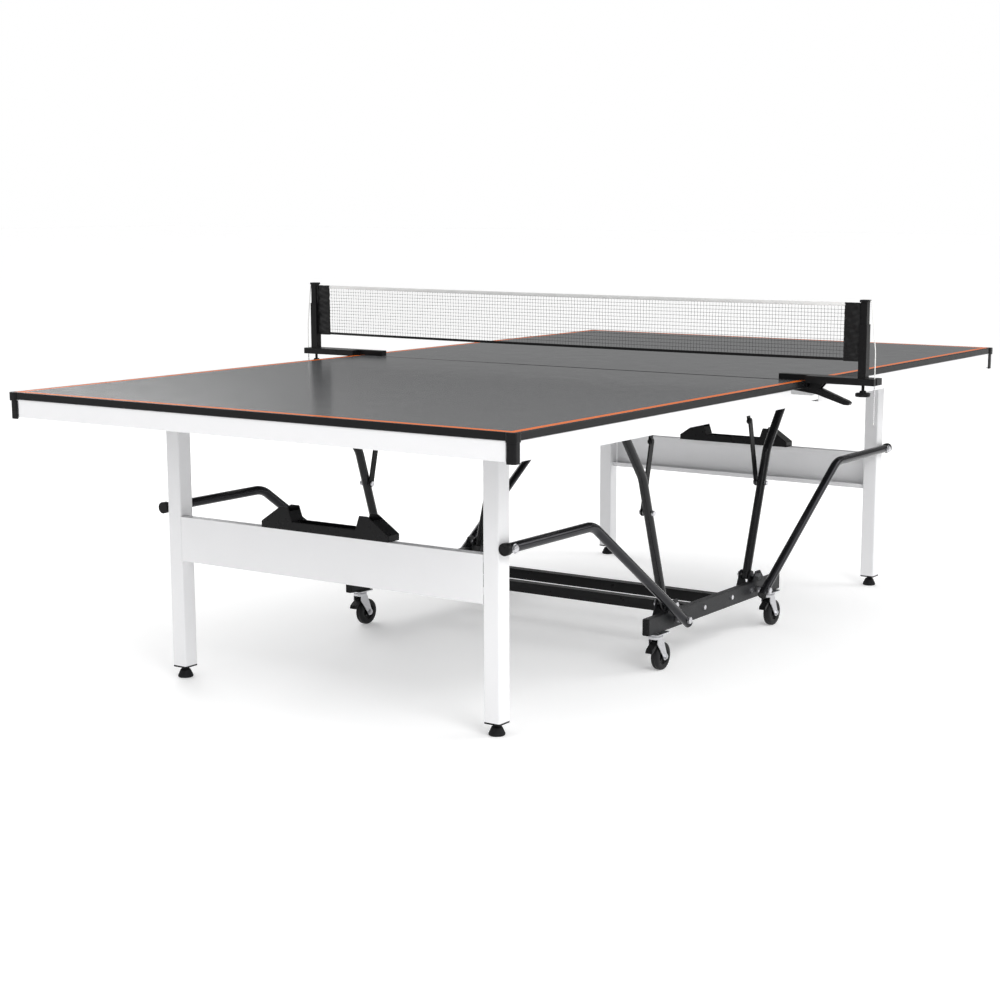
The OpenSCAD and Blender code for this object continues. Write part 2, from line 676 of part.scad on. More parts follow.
// Clamp arm on the playing surface, block and fixed tube for the post, and cheeks for the jaw
module net_arms() {
  cheek_t = 3;
  block_x0 = -post_w / 2 - 5;
  color("black") on_both_sides() {
    difference() {
      union() {
        translate([arm_x, half_w - arm_reach, top_height])
          cube([arm_w, arm_reach + 20, arm_t]);
        translate([block_x0, half_w + 3.5, arm_low])
          cube([arm_x + arm_w - block_x0, arm_end - half_w - 3.5, arm_t + 3]);
        translate([-post_w / 2, post_y - post_w / 2, arm_low])
          cube([post_w, post_w, post_tube_top - arm_low]);
        for (x = [arm_x, arm_x + arm_w - cheek_t])
          plate_yz(x, x + cheek_t) polygon([
            [half_w + 3.5, arm_low + 1], [half_w + 3.5, board_low - 10], [jaw_pivot[0] + 12, board_low - 10],
            [jaw_pivot[0] + 34, arm_low + 1]
          ]);
      }
      translate([-slide_w / 2 - 0.3, post_y - slide_w / 2 - 0.3, arm_low + 5])
        cube([slide_w + 0.6, slide_w + 0.6, post_rise]);
      translate([0, post_y, arm_low - 1]) cylinder(d = stud_bore_d, h = 10);
      translate([-3, post_y + 26, arm_low - 1]) cube([6, 12, arm_t + 5]);
    }
    translate([arm_x, jaw_pivot[0], jaw_pivot[1]]) rotate([0, 90, 0]) cylinder(d = jaw_pin_d, h = arm_w);
  }
}

// Sprung jaw under the board with its squeeze handle, drawn at +Y
module net_jaw() {
  p = jaw_pivot;
  jaw_gap = 3.6;
  color("black") difference() {
    union() {
      plate_yz(arm_x + jaw_gap, arm_x + arm_w - jaw_gap) polygon([
        [half_w - 72, board_low - seat_gap], [half_w - 72, board_low - 7], [half_w - 10, board_low - 14],
        p + [12, -17], p + [88, -40], p + [102, -40], p + [106, -34], p + [100, -29], p + [30, -3],
        p + [8, 5], p + [-8, 5], [half_w + 2, board_low - seat_gap]
      ]);
      translate([arm_x + jaw_gap, p[0], p[1]]) rotate([0, 90, 0])
        cylinder(d = 14, h = arm_w - 2 * jaw_gap);
    }
    translate([arm_x, p[0], p[1]]) rotate([0, 90, 0]) cylinder(d = jaw_bore_d, h = arm_w);
  }
}

// Height screw under a post, side = 1 or -1
module net_knob(side) {
  color("black") translate([0, side * post_y, 0]) {
    translate([0, 0, knob_z]) linear_extrude(knob_t) circle(d = knob_d);
    translate([0, 0, knob_z]) cylinder(d = stud_d, h = arm_low + 5 - knob_z);
  }
}

// Sliding post with its end cap
module net_posts() {
  color("black") on_both_sides() {
    translate([0, post_y, slide_low]) linear_extrude(post_top - 6 - slide_low) difference() {
      square(slide_w, center = true);
      square(slide_w - 3, center = true);
    }
    translate([0, post_y, post_top - 6]) linear_extrude(6) polygon(rounded_rect(post_w + 2, post_w + 2, 3));
  }
}

module net_cloth() {
  color("lightgray") translate([-net_t / 2, -sleeve_end, net_low]) cube([net_t, 2 * sleeve_end, net_h]);
}

// Tube swept along a route in the plane x = 0, closed at both ends
module cord_tube(route) {
  n = len(route);
  dir = [for (i = [0 : n - 1]) let (v = route[min(i + 1, n - 1)] - route[max(i - 1, 0)]) v / norm(v)];
  rings = [for (i = [0 : n - 1]) for (k = [0 : cord_sides - 1]) let (a = 360 * k / cord_sides)
    [cord_d / 2 * cos(a), route[i][0] - dir[i][1] * cord_d / 2 * sin(a),
     route[i][1] + dir[i][0] * cord_d / 2 * sin(a)]];
  walls = [for (i = [0 : n - 2]) for (k = [0 : cord_sides - 1]) let (m = (k + 1) % cord_sides)
    [i * cord_sides + k, i * cord_sides + m, (i + 1) * cord_sides + m, (i + 1) * cord_sides + k]];
  first = [for (k = [0 : cord_sides - 1]) cord_sides - 1 - k];
  last = [for (k = [0 : cord_sides - 1]) (n - 1) * cord_sides + k];
  polyhedron(rings, concat(walls, [first], [last]));
}

module net_cords() {
  route = [for (p = cord_route) p + [post_y, top_height]];
  color("white") on_both_sides() cord_tube(route);
}

// ---------- what is drawn ----------

module far() { children(); }
module near() { mirror([1, 0, 0]) children(); }

near() board();  // near_board
near() edge_band();  // near_edge_band
near() apron();  // near_apron
near() corner_caps();  // near_corner_caps
near() brackets();  // near_brackets
near() support_tubes();  // near_support_tubes
near() stay_bolts();  // near_stay_bolts
near() stay_lower();  // near_stay_lower
near() stay_upper();  // near_stay_upper
near() legs();  // near_legs
near() leg_panel();  // near_leg_panel
near() tray();  // near_tray
near() leg_plugs();  // near_leg_plugs
near() screw_foot(1);  // near_foot_left
near() screw_foot(-1);  // near_foot_right
near() leg_rods();  // near_leg_rods
near() rod_fittings();  // near_rod_fittings
far() board();  // far_board
far() edge_band();  // far_edge_band
far() apron();  // far_apron
far() corner_caps();  // far_corner_caps
far() brackets();  // far_brackets
far() support_tubes();  // far_support_tubes
far() stay_bolts();  // far_stay_bolts
far() stay_lower();  // far_stay_lower
far() stay_upper();  // far_stay_upper
far() legs();  // far_legs
far() leg_panel();  // far_leg_panel
far() tray();  // far_tray
far() leg_plugs();  // far_leg_plugs
far() screw_foot(1);  // far_foot_left
far() screw_foot(-1);  // far_foot_right
far() leg_rods();  // far_leg_rods
far() rod_fittings();  // far_rod_fittings
side_bars();
bar_caps();
cross_bars();
tube_brackets();
trolley_bolts();
caster_plates();
caster_fork(1);  // caster_fork_1
caster_wheel(1);  // caster_wheel_1
caster_brake(1);  // caster_brake_1
caster_fork(2);  // caster_fork_2
caster_wheel(2);  // caster_wheel_2
caster_brake(2);  // caster_brake_2
caster_fork(3);  // caster_fork_3
caster_wheel(3);  // caster_wheel_3
caster_brake(3);  // caster_brake_3
caster_fork(4);  // caster_fork_4
caster_wheel(4);  // caster_wheel_4
caster_brake(4);  // caster_brake_4
net_arms();
net_jaw();  // net_jaw_left
mirror([0, 1, 0]) net_jaw();  // net_jaw_right
net_knob(1);  // net_knob_left
net_knob(-1);  // net_knob_right
net_posts();
net_cloth();
net_cords();
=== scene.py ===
"""Looks of a folding table tennis table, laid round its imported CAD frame.

The frame's joints and node boxes give every place. Lengths are in metres, X runs along the table,
Y across it and Z up.
"""

import json
import math

import bmesh
import bpy
import numpy as np
from bpy.props import FloatProperty, FloatVectorProperty, PointerProperty
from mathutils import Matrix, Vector


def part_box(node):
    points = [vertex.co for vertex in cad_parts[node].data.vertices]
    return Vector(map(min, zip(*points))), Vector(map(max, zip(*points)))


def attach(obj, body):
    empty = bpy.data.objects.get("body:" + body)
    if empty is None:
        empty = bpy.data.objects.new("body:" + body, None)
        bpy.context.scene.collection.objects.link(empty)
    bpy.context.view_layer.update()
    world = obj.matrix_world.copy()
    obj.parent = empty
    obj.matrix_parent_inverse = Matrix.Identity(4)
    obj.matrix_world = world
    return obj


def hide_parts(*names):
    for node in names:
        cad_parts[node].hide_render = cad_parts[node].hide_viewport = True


bl_info = {
    "name": "Folding Table Tennis Table",
    "version": (1, 0, 0),
    "blender": (4, 5, 0),
    "location": "3D View > Sidebar > Table Tennis",
    "description": "Builds the finish, bent tubes, casters, net and stage of a table tennis table",
    "category": "Add Mesh",
}

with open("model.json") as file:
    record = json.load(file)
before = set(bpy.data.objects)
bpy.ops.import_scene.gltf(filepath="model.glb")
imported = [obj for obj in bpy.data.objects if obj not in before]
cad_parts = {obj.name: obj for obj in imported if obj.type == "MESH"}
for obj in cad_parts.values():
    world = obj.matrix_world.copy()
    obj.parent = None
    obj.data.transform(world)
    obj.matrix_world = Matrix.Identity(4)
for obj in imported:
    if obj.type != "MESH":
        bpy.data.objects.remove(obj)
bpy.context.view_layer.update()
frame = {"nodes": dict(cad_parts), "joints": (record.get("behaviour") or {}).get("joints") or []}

SIDES = {"near": -1, "far": 1}
HANDS = {"left": 1, "right": -1}

# Bends between the pivots of a tube and of a rod, and where a rod meets its leg, as (x, z) at +X
TUBE_BEND = (0.355, 0.5198)
ROD_BEND = (0.700, 0.448)
ROD_HEAD = (1.057, 0.448)
TUBE_OVER = 0.012
ROD_OVER = 0.021

# Route of a tension cord, as (y from the post's axis, z from the top), in metres
CORD_ROUTE = [
    (0.0128, 0.215), (0.0145, 0.215), (0.016, 0.2135), (0.017, 0.211), (0.018, 0.206), (0.0195, 0.196),
    (0.021, 0.184), (0.0225, 0.171), (0.024, 0.157), (0.0255, 0.143), (0.027, 0.129), (0.0285, 0.115),
    (0.030, 0.102), (0.0313, 0.090), (0.032, 0.078), (0.032, 0.066), (0.032, 0.050), (0.032, 0.034),
    (0.032, 0.018), (0.032, 0.002), (0.032, -0.014), (0.032, -0.030), (0.032, -0.046), (0.032, -0.062),
    (0.032, -0.078), (0.032, -0.092), (0.032, -0.105),
]

# Finish of each CAD node that shows, by its name without the half and the caster's number
NODE_FINISH = {
    "board": "slate top",
    "edge_band": "edge band",
    "apron": "white powder coat",
    "corner_caps": "moulded plastic",
    "brackets": "black powder coat",
    "stay_bolts": "bright zinc",
    "stay_lower": "black powder coat",
    "stay_upper": "black powder coat",
    "legs": "white powder coat",
    "leg_panel": "white powder coat",
    "tray": "moulded plastic",
    "leg_plugs": "moulded plastic",
    "foot_left": "foot rubber",
    "foot_right": "foot rubber",
    "rod_fittings": "moulded plastic",
    "side_bars": "charcoal powder coat",
    "bar_caps": "moulded plastic",
    "cross_bars": "black powder coat",
    "tube_brackets": "charcoal powder coat",
    "trolley_bolts": "bright zinc",
    "caster_plates": "bright zinc",
    "net_arms": "black powder coat",
    "net_posts": "black powder coat",
    "net_jaw_left": "moulded plastic",
    "net_jaw_right": "moulded plastic",
    "caster_fork": "bright zinc",
    "caster_brake": "moulded plastic",
}
USUAL_FINISH = "black powder coat"
# Width of the softened edges, in metres, where it isn't the usual one
EDGE_WIDTH = {
    "board": 0.0, "edge_band": 0.0012, "corner_caps": 0.002, "apron": 0.0012, "tray": 0.0015,
    "caster_brake": 0.0015,
}
USUAL_EDGE = 0.0007

# Waves per metre of the cloths' weave, and the diameter of a tension cord in metres
WEAVE_SCALE = 900.0
CORD_DIAMETER = 0.0025


# ---------- sizes and colours ----------


class TableSizes(bpy.types.PropertyGroup):
    """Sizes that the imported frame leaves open"""

    line_width: FloatProperty(
        name="Line width", description="Width of the line round the playing surface",
        default=0.019, min=0.005, max=0.04, unit="LENGTH",
    )
    line_inset: FloatProperty(
        name="Line inset", description="Distance from the edge to the line",
        default=0.006, min=0.0, max=0.02, unit="LENGTH",
    )
    tube_diameter: FloatProperty(
        name="Tube diameter", description="Diameter of the support tubes and leg rods",
        default=0.025, min=0.015, max=0.035, unit="LENGTH",
    )
    tube_radius: FloatProperty(
        name="Tube bend", description="Radius of the bend in a support tube",
        default=0.075, min=0.03, max=0.15, unit="LENGTH",
    )
    rod_radius: FloatProperty(
        name="Rod bend", description="Radius of the bend in a leg rod",
        default=0.085, min=0.03, max=0.15, unit="LENGTH",
    )
    net_pitch: FloatProperty(
        name="Net pitch", description="Distance between the threads of the net",
        default=0.0095, min=0.006, max=0.02, unit="LENGTH",
    )
    thread: FloatProperty(
        name="Thread", description="Diameter of a net thread",
        default=0.001, min=0.0005, max=0.002, unit="LENGTH",
    )
    tape_height: FloatProperty(
        name="Tape height", description="Height of the white tape along the net's top",
        default=0.010, min=0.005, max=0.02, unit="LENGTH",
    )
    band_height: FloatProperty(
        name="Band height", description="Height of the dark band along the net's foot",
        default=0.009, min=0.004, max=0.02, unit="LENGTH",
    )
    sleeve_width: FloatProperty(
        name="Sleeve width", description="Width of the cloth sleeve beside a post",
        default=0.0465, min=0.03, max=0.08, unit="LENGTH",
    )


def colour(name, words, value):
    """A colour property with the given start value."""
    return FloatVectorProperty(
        name=name, description=words, default=value, min=0.0, max=1.0, size=3, subtype="COLOR"
    )


class TableColours(bpy.types.PropertyGroup):
    """Colours of the finishes"""

    top: colour("Top", "Slate colour of the playing surface", (0.068, 0.070, 0.073))
    line: colour("Line", "Line round the playing surface", (0.80, 0.150, 0.006))
    frame: colour("Frame", "Powder coat of the legs and aprons", (0.80, 0.80, 0.81))
    dark: colour("Dark steel", "Powder coat of the brackets and bars", (0.006, 0.006, 0.0065))
    charcoal: colour("Trolley", "Powder coat of the trolley's side bars", (0.014, 0.0145, 0.016))
    tube: colour("Tubes", "Gloss coat of the round tubes", (0.007, 0.007, 0.008))
    zinc: colour("Zinc", "Plated bolts and casters", (0.60, 0.60, 0.62))
    plastic: colour("Plastic", "Moulded parts", (0.006, 0.006, 0.0065))
    rubber: colour("Rubber", "Tyres and feet", (0.011, 0.011, 0.012))
    tape: colour("Tape", "Tape along the net's top", (0.86, 0.86, 0.85))
    thread: colour("Thread", "Threads of the net", (0.020, 0.020, 0.022))
    cord: colour("Cord", "Tension cords", (0.82, 0.82, 0.80))


# ---------- shapes ----------


def joint_place(name):
    """Pivot of a joint of the frame, as an array."""
    return np.array(next(j["pos_m"] for j in frame["joints"] if j["name"] == name), float)


def unit_rows(rows):
    """Every row scaled to a length of one."""
    return rows / np.linalg.norm(rows, axis=-1, keepdims=True)


def grid_faces(rows, columns, close_rows=False):
    """Four-sided faces over a grid whose columns run round. If closed, the last row joins the first."""
    index = np.arange(rows * columns).reshape(rows, columns)
    below = index if close_rows else index[:-1]
    above = np.roll(index, -1, 0) if close_rows else index[1:]
    quads = np.stack([below, np.roll(below, -1, 1), np.roll(above, -1, 1), above], -1)
    return quads.reshape(-1, 4)


def end_faces(rows, columns):
    """The face over the first row of a grid and the one over its last."""
    return np.stack([np.arange(columns), np.arange(columns) + (rows - 1) * columns])


def shell(points, close_rows=False):
    """Points of a grid whose columns run round, and its faces as arrays of one width each: open rows
    are closed by an end face each."""
    rows, columns = points.shape[:2]
    faces = [grid_faces(rows, columns, close_rows)]
    if not close_rows:
        faces.append(end_faces(rows, columns))
    return points.reshape(-1, 3), faces


def many_shells(points):
    """Shells of several grids of one shape, as an array of grid, row, column and coordinate."""
    count, rows, columns = points.shape[:3]
    shift = (np.arange(count) * rows * columns)[:, None, None]
    quads = (grid_faces(rows, columns)[None] + shift).reshape(-1, 4)
    ends = (end_faces(rows, columns)[None] + shift).reshape(-1, columns)
    return points.reshape(-1, 3), [quads, ends]


def joined(parts):
    """Points and faces of several shells as one: each one's faces count on from the points before it."""
    points, faces, start = [], [], 0
    for some_points, some_faces in parts:
        points.append(some_points)
        faces += [group + start for group in some_faces]
        start += len(some_points)
    return np.concatenate(points), faces


def rounded_route(corners, radius, steps=12):
    """Straight runs joined by arcs: each arc touches its two runs and is turned from spoke to spoke."""
    corners = np.asarray(corners, float)
    parts = [corners[:1]]
    for before, at, after in zip(corners[:-2], corners[1:-1], corners[2:]):
        back, on = unit_rows(np.stack([before - at, after - at]))
        half = math.acos(float(back @ on)) / 2
        reach = radius / math.tan(half)
        centre = at + unit_rows(back + on) * radius / math.sin(half)
        first, last = at + back * reach - centre, at + on * reach - centre
        turn = math.pi - 2 * half
        share = np.linspace(0, 1, steps + 1)[:, None]
        arc = (np.sin((1 - share) * turn) * first + np.sin(share * turn) * last) / math.sin(turn)
        parts.append(centre + arc)
    return np.concatenate(parts + [corners[-1:]])


def swept(path, radii, across, sides=20):
    """Rings of the given radii along a path: each ring is spanned by two directions square to the path,
    one of them square to the vector across as well."""
    path = np.asarray(path, float)
    ahead = unit_rows(np.gradient(path, axis=0))
    first = unit_rows(np.cross(np.asarray(across, float), ahead))
    second = np.cross(ahead, first)
    angle = np.linspace(0, 2 * np.pi, sides, endpoint=False)[None, :, None]
    ring = np.cos(angle) * first[:, None] + np.sin(angle) * second[:, None]
    return path[:, None] + np.broadcast_to(radii, len(path))[:, None, None] * ring


def open_tube(path, radius, wall, sides=28):
    """A tube with a rounded lip at both ends: the path is walked from inside one mouth, along the
    outside, and back in at the other mouth, with the radius stepping at the lips."""
    ahead = unit_rows(path[1] - path[0])
    behind = unit_rows(path[-2] - path[-1])
    depth = 0.012
    lip = 0.0006
    rings = swept(path, radius, (0, 1, 0), sides)
    spoke_in = (rings[0] - path[0]) / radius
    spoke_out = (rings[-1] - path[-1]) / radius
    head = np.stack([
        path[0] + ahead * along + spoke_in * size
        for along, size in ((depth, radius - wall), (lip, radius - wall), (0, radius - wall + lip),
                            (0, radius - lip), (lip, radius))
    ])
    tail = np.stack([
        path[-1] + behind * along + spoke_out * size
        for along, size in ((lip, radius), (0, radius - lip), (0, radius - wall + lip),
                            (lip, radius - wall), (depth, radius - wall))
    ])
    return shell(np.concatenate([head, rings[1:-1], tail]))


def turned(profile, centre, axis, sides=48, flute=None):
    """A profile of (radius, place along the axis) turned about an axis through centre. Flute, if given,
    scales the radius as a function of profile row and angle."""
    profile = np.asarray(profile, float)
    angle = np.linspace(0, 2 * np.pi, sides, endpoint=False)
    axis = unit_rows(np.asarray(axis, float))
    first = unit_rows(np.cross(axis, (0.0, 0.6, 0.8) if abs(axis[0]) > 0.5 else (1.0, 0.0, 0.0)))
    second = np.cross(axis, first)
    radius = np.repeat(profile[:, :1], sides, 1)
    if flute is not None:
        radius = radius * flute(profile, angle)
    spoke = np.cos(angle)[:, None] * first + np.sin(angle)[:, None] * second
    return np.asarray(centre) + radius[..., None] * spoke + profile[:, 1][:, None, None] * axis


def piece(name, points, faces, finish_name, body, slot, stands_for=(), smooth=True):
    """Puts points and faces into the scene as one piece that rides on a body of the frame."""
    mesh = bpy.data.meshes.new(name)
    mesh.from_pydata(points.tolist(), [], [face for group in faces for face in group.tolist()])
    built = bmesh.new()
    built.from_mesh(mesh)
    bmesh.ops.recalc_face_normals(built, faces=built.faces)
    built.to_mesh(mesh)
    built.free()
    mesh.polygons.foreach_set("use_smooth", np.full(len(mesh.polygons), smooth))
    made = bpy.data.objects.new(name, mesh)
    bpy.context.scene.collection.objects.link(made)
    mesh.materials.append(finish(finish_name))
    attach(made, body)
    if stands_for:
        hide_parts(*stands_for)
    return made


def crisp(made, angle=40):
    """Keeps the edges sharper than the angle sharp on a smooth piece."""
    made.data.set_sharp_from_angle(angle=math.radians(angle))
    return made


# ---------- finishes ----------


def put(tree, kind, settings=None, **sockets):
    """A new node with its settings and the values or links of its input sockets."""
    made = tree.nodes.new(kind)
    for key, value in (settings or {}).items():
        setattr(made, key, value)
    for key, value in sockets.items():
        socket = made.inputs[key.replace("_", " ")]
        if isinstance(value, bpy.types.NodeSocket):
            tree.links.new(value, socket)
        else:
            socket.default_value = value
    return made


def reckon(tree, operation, first, second=0.0):
    """The output of a Math node."""
    made = tree.nodes.new("ShaderNodeMath")
    made.operation = operation
    for socket, value in zip(made.inputs, (first, second)):
        if isinstance(value, bpy.types.NodeSocket):
            tree.links.new(value, socket)
        else:
            socket.default_value = value
    return made.outputs[0]


def mixed(tree, share, first, second):
    """The colour that lies by share between two colours."""
    made = tree.nodes.new("ShaderNodeMix")
    made.data_type = "RGBA"
    for socket, value in zip((made.inputs[0], made.inputs[6], made.inputs[7]), (share, first, second)):
        if isinstance(value, bpy.types.NodeSocket):
            tree.links.new(value, socket)
        else:
            socket.default_value = value
    return made.outputs[2]


def started(name):
    """A new material with its node tree, its shader and its Object coordinates."""
    made = bpy.data.materials.new(name)
    made.use_nodes = True
    tree = made.node_tree
    where = tree.nodes.new("ShaderNodeTexCoord").outputs["Object"]
    return made, tree, tree.nodes["Principled BSDF"], where


def surfaced(name, base, rough, metal=0.0, varied=0.12, spread=0.06, grain=900.0, relief=0.15,
             sheen=0.0, stretch=(1.0, 1.0, 1.0), speckle=0.0, shine=0.5, glow=0.0):
    """A coat, plate, plastic or rubber: slow clouds vary its colour, finer ones its roughness, and a
    fine grain its relief. Stretch draws the grain out along an axis, as brushing does."""
    made, tree, shader, where = started(name)
    drawn = put(tree, "ShaderNodeMapping", Vector=where, Scale=stretch).outputs[0]
    clouds = put(tree, "ShaderNodeTexNoise", Vector=where, Scale=7.0, Detail=5.0, Roughness=0.6).outputs[0]
    smears = put(tree, "ShaderNodeTexNoise", Vector=drawn, Scale=45.0, Detail=6.0, Roughness=0.65).outputs[0]
    grains = put(tree, "ShaderNodeTexNoise", Vector=drawn, Scale=grain, Detail=3.0).outputs[0]
    low = (*(c * (1 - varied) for c in base), 1)
    high = (*(min(1.0, c * (1 + varied) + 0.002) for c in base), 1)
    tint = mixed(tree, clouds, low, high)
    if speckle:
        dots = put(tree, "ShaderNodeTexVoronoi", Vector=where, Scale=grain * 0.6).outputs["Distance"]
        share = put(tree, "ShaderNodeMapRange", Value=dots, From_Min=0.0, From_Max=0.35,
                    To_Min=speckle, To_Max=0.0).outputs[0]
        tint = mixed(tree, share, tint, (*(min(1.0, c * 2.4 + 0.01) for c in base), 1))
    tree.links.new(tint, shader.inputs["Base Color"])
    worn = put(tree, "ShaderNodeMapRange", Value=smears, From_Min=0.3, From_Max=0.7,
               To_Min=max(0.02, rough - spread), To_Max=min(1.0, rough + spread)).outputs[0]
    tree.links.new(worn, shader.inputs["Roughness"])
    raised = put(tree, "ShaderNodeBump", Height=grains, Strength=relief, Distance=0.0006).outputs[0]
    tree.links.new(raised, shader.inputs["Normal"])
    shader.inputs["Metallic"].default_value = metal
    shader.inputs["Specular IOR Level"].default_value = shine
    shader.inputs["Emission Color"].default_value = (1, 1, 1, 1)
    shader.inputs["Emission Strength"].default_value = glow
    shader.inputs["Sheen Weight"].default_value = sheen
    return made


def slate_top(colours, sizes):
    """Painted board: the distance to the nearest side or end picks the line and the dark lip."""
    made, tree, shader, where = started("slate top")
    split = put(tree, "ShaderNodeSeparateXYZ", Vector=where)
    board_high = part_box("far_edge_band")[1]
    from_end = reckon(tree, "SUBTRACT", board_high.x, reckon(tree, "ABSOLUTE", split.outputs[0]))
    from_side = reckon(tree, "SUBTRACT", board_high.y, reckon(tree, "ABSOLUTE", split.outputs[1]))
    near = reckon(tree, "MINIMUM", from_end, from_side)
    inside = reckon(tree, "GREATER_THAN", near, sizes.line_inset)
    outside = reckon(tree, "LESS_THAN", near, sizes.line_inset + sizes.line_width)
    upper = reckon(tree, "GREATER_THAN", split.outputs[2], board_high.z - 0.001)
    on_line = reckon(tree, "MULTIPLY", reckon(tree, "MULTIPLY", inside, outside), upper)
    clouds = put(tree, "ShaderNodeTexNoise", Vector=where, Scale=2.4, Detail=5.0).outputs[0]
    fleck = put(tree, "ShaderNodeTexNoise", Vector=where, Scale=700.0, Detail=2.0).outputs[0]
    low_tint = (*(c * 0.9 for c in colours.top), 1)
    paint = mixed(tree, clouds, low_tint, (*(c * 1.12 for c in colours.top), 1))
    paint = mixed(tree, reckon(tree, "MULTIPLY", fleck, 0.12), paint, (*(c * 2.2 for c in colours.top), 1))
    paint = mixed(tree, inside, (*colours.plastic, 1), paint)
    paint = mixed(tree, on_line, paint, (*colours.line, 1))
    tree.links.new(paint, shader.inputs["Base Color"])
    smears = put(tree, "ShaderNodeTexNoise", Vector=where, Scale=16.0, Detail=6.0, Roughness=0.7).outputs[0]
    worn = put(tree, "ShaderNodeMapRange", Value=smears, From_Min=0.3, From_Max=0.7,
               To_Min=0.17, To_Max=0.22).outputs[0]
    tree.links.new(worn, shader.inputs["Roughness"])
    raised = put(tree, "ShaderNodeBump", Height=fleck, Strength=0.05, Distance=0.0003).outputs[0]
    tree.links.new(raised, shader.inputs["Normal"])
    shine = put(tree, "ShaderNodeMapRange", Value=on_line, To_Min=0.4, To_Max=0.06).outputs[0]
    tree.links.new(shine, shader.inputs["Specular IOR Level"])
    return made


def woven(name, base, rough=0.85, sheen=0.3, shine=0.3):
    """Cloth: two crossed sets of waves give the weave its relief and its shade."""
    made, tree, shader, where = started(name)
    over = put(tree, "ShaderNodeTexWave", {"bands_direction": "Y"}, Vector=where, Scale=WEAVE_SCALE).outputs["Fac"]
    under = put(tree, "ShaderNodeTexWave", {"bands_direction": "Z"}, Vector=where, Scale=WEAVE_SCALE).outputs["Fac"]
    weave = reckon(tree, "MULTIPLY", over, under)
    clouds = put(tree, "ShaderNodeTexNoise", Vector=where, Scale=22.0, Detail=4.0).outputs[0]
    tint = mixed(tree, clouds, (*(c * 0.82 for c in base), 1), (*(min(1, c * 1.08) for c in base), 1))
    tint = mixed(tree, reckon(tree, "MULTIPLY", weave, 0.35), tint, (*(c * 0.6 for c in base), 1))
    tree.links.new(tint, shader.inputs["Base Color"])
    raised = put(tree, "ShaderNodeBump", Height=weave, Strength=0.4, Distance=0.0004).outputs[0]
    tree.links.new(raised, shader.inputs["Normal"])
    shader.inputs["Roughness"].default_value = rough
    shader.inputs["Specular IOR Level"].default_value = shine
    shader.inputs["Sheen Weight"].default_value = sheen
    return made


def finish(name):
    """The finish of that name, made the first time it is asked for."""
    if name in bpy.data.materials:
        return bpy.data.materials[name]
    colours = bpy.context.scene.table_colours
    sizes = bpy.context.scene.table_sizes
    makers = {
        "slate top": lambda: slate_top(colours, sizes),
        "edge band": lambda: surfaced(name, colours.plastic, 0.22, grain=500, relief=0.05, shine=0.14),
        "white powder coat": lambda: surfaced(name, colours.frame, 0.36, varied=0.02, grain=1100,
                                              relief=0.12),
        "black powder coat": lambda: surfaced(name, colours.dark, 0.32, grain=1100, relief=0.2,
                                              speckle=0.05, shine=0.16),
        "charcoal powder coat": lambda: surfaced(name, colours.charcoal, 0.36, grain=1000, relief=0.2,
                                                 speckle=0.1, shine=0.2),
        "gloss tube": lambda: surfaced(name, colours.tube, 0.16, grain=700, relief=0.04, shine=0.35),
        "gunmetal rod": lambda: surfaced(name, [3 * c for c in colours.tube], 0.16, metal=0.7, grain=700,
                                         relief=0.04, shine=0.4),
        "bright zinc": lambda: surfaced(name, colours.zinc, 0.30, metal=1.0, varied=0.2, grain=300,
                                        relief=0.08, stretch=(1.0, 1.0, 6.0)),
        "moulded plastic": lambda: surfaced(name, colours.plastic, 0.30, varied=0.15, grain=1600,
                                            relief=0.25, shine=0.14),
        "foot rubber": lambda: surfaced(name, colours.rubber, 0.58, varied=0.2, grain=800, relief=0.3,
                                        shine=0.15),
        "tyre rubber": lambda: surfaced(name, colours.rubber, 0.5, varied=0.25, grain=600, relief=0.3,
                                        speckle=0.05, shine=0.2),
        "net tape": lambda: woven(name, colours.tape),
        "net band": lambda: woven(name, colours.plastic, 0.45, sheen=0.02, shine=0.3),
        "net thread": lambda: surfaced(name, colours.thread, 0.7, varied=0.2, grain=3000, relief=0.4,
                                       sheen=0.2),
        "white cord": lambda: surfaced(name, colours.cord, 0.7, varied=0.08, grain=1500, relief=0.6,
                                       sheen=0.2),
        "pale floor": lambda: surfaced(name, (0.93, 0.93, 0.93), 0.75, varied=0.004, grain=60,
                                       relief=0.0, shine=0.1, glow=0.22),
    }
    return makers[name]()


# ---------- operators ----------


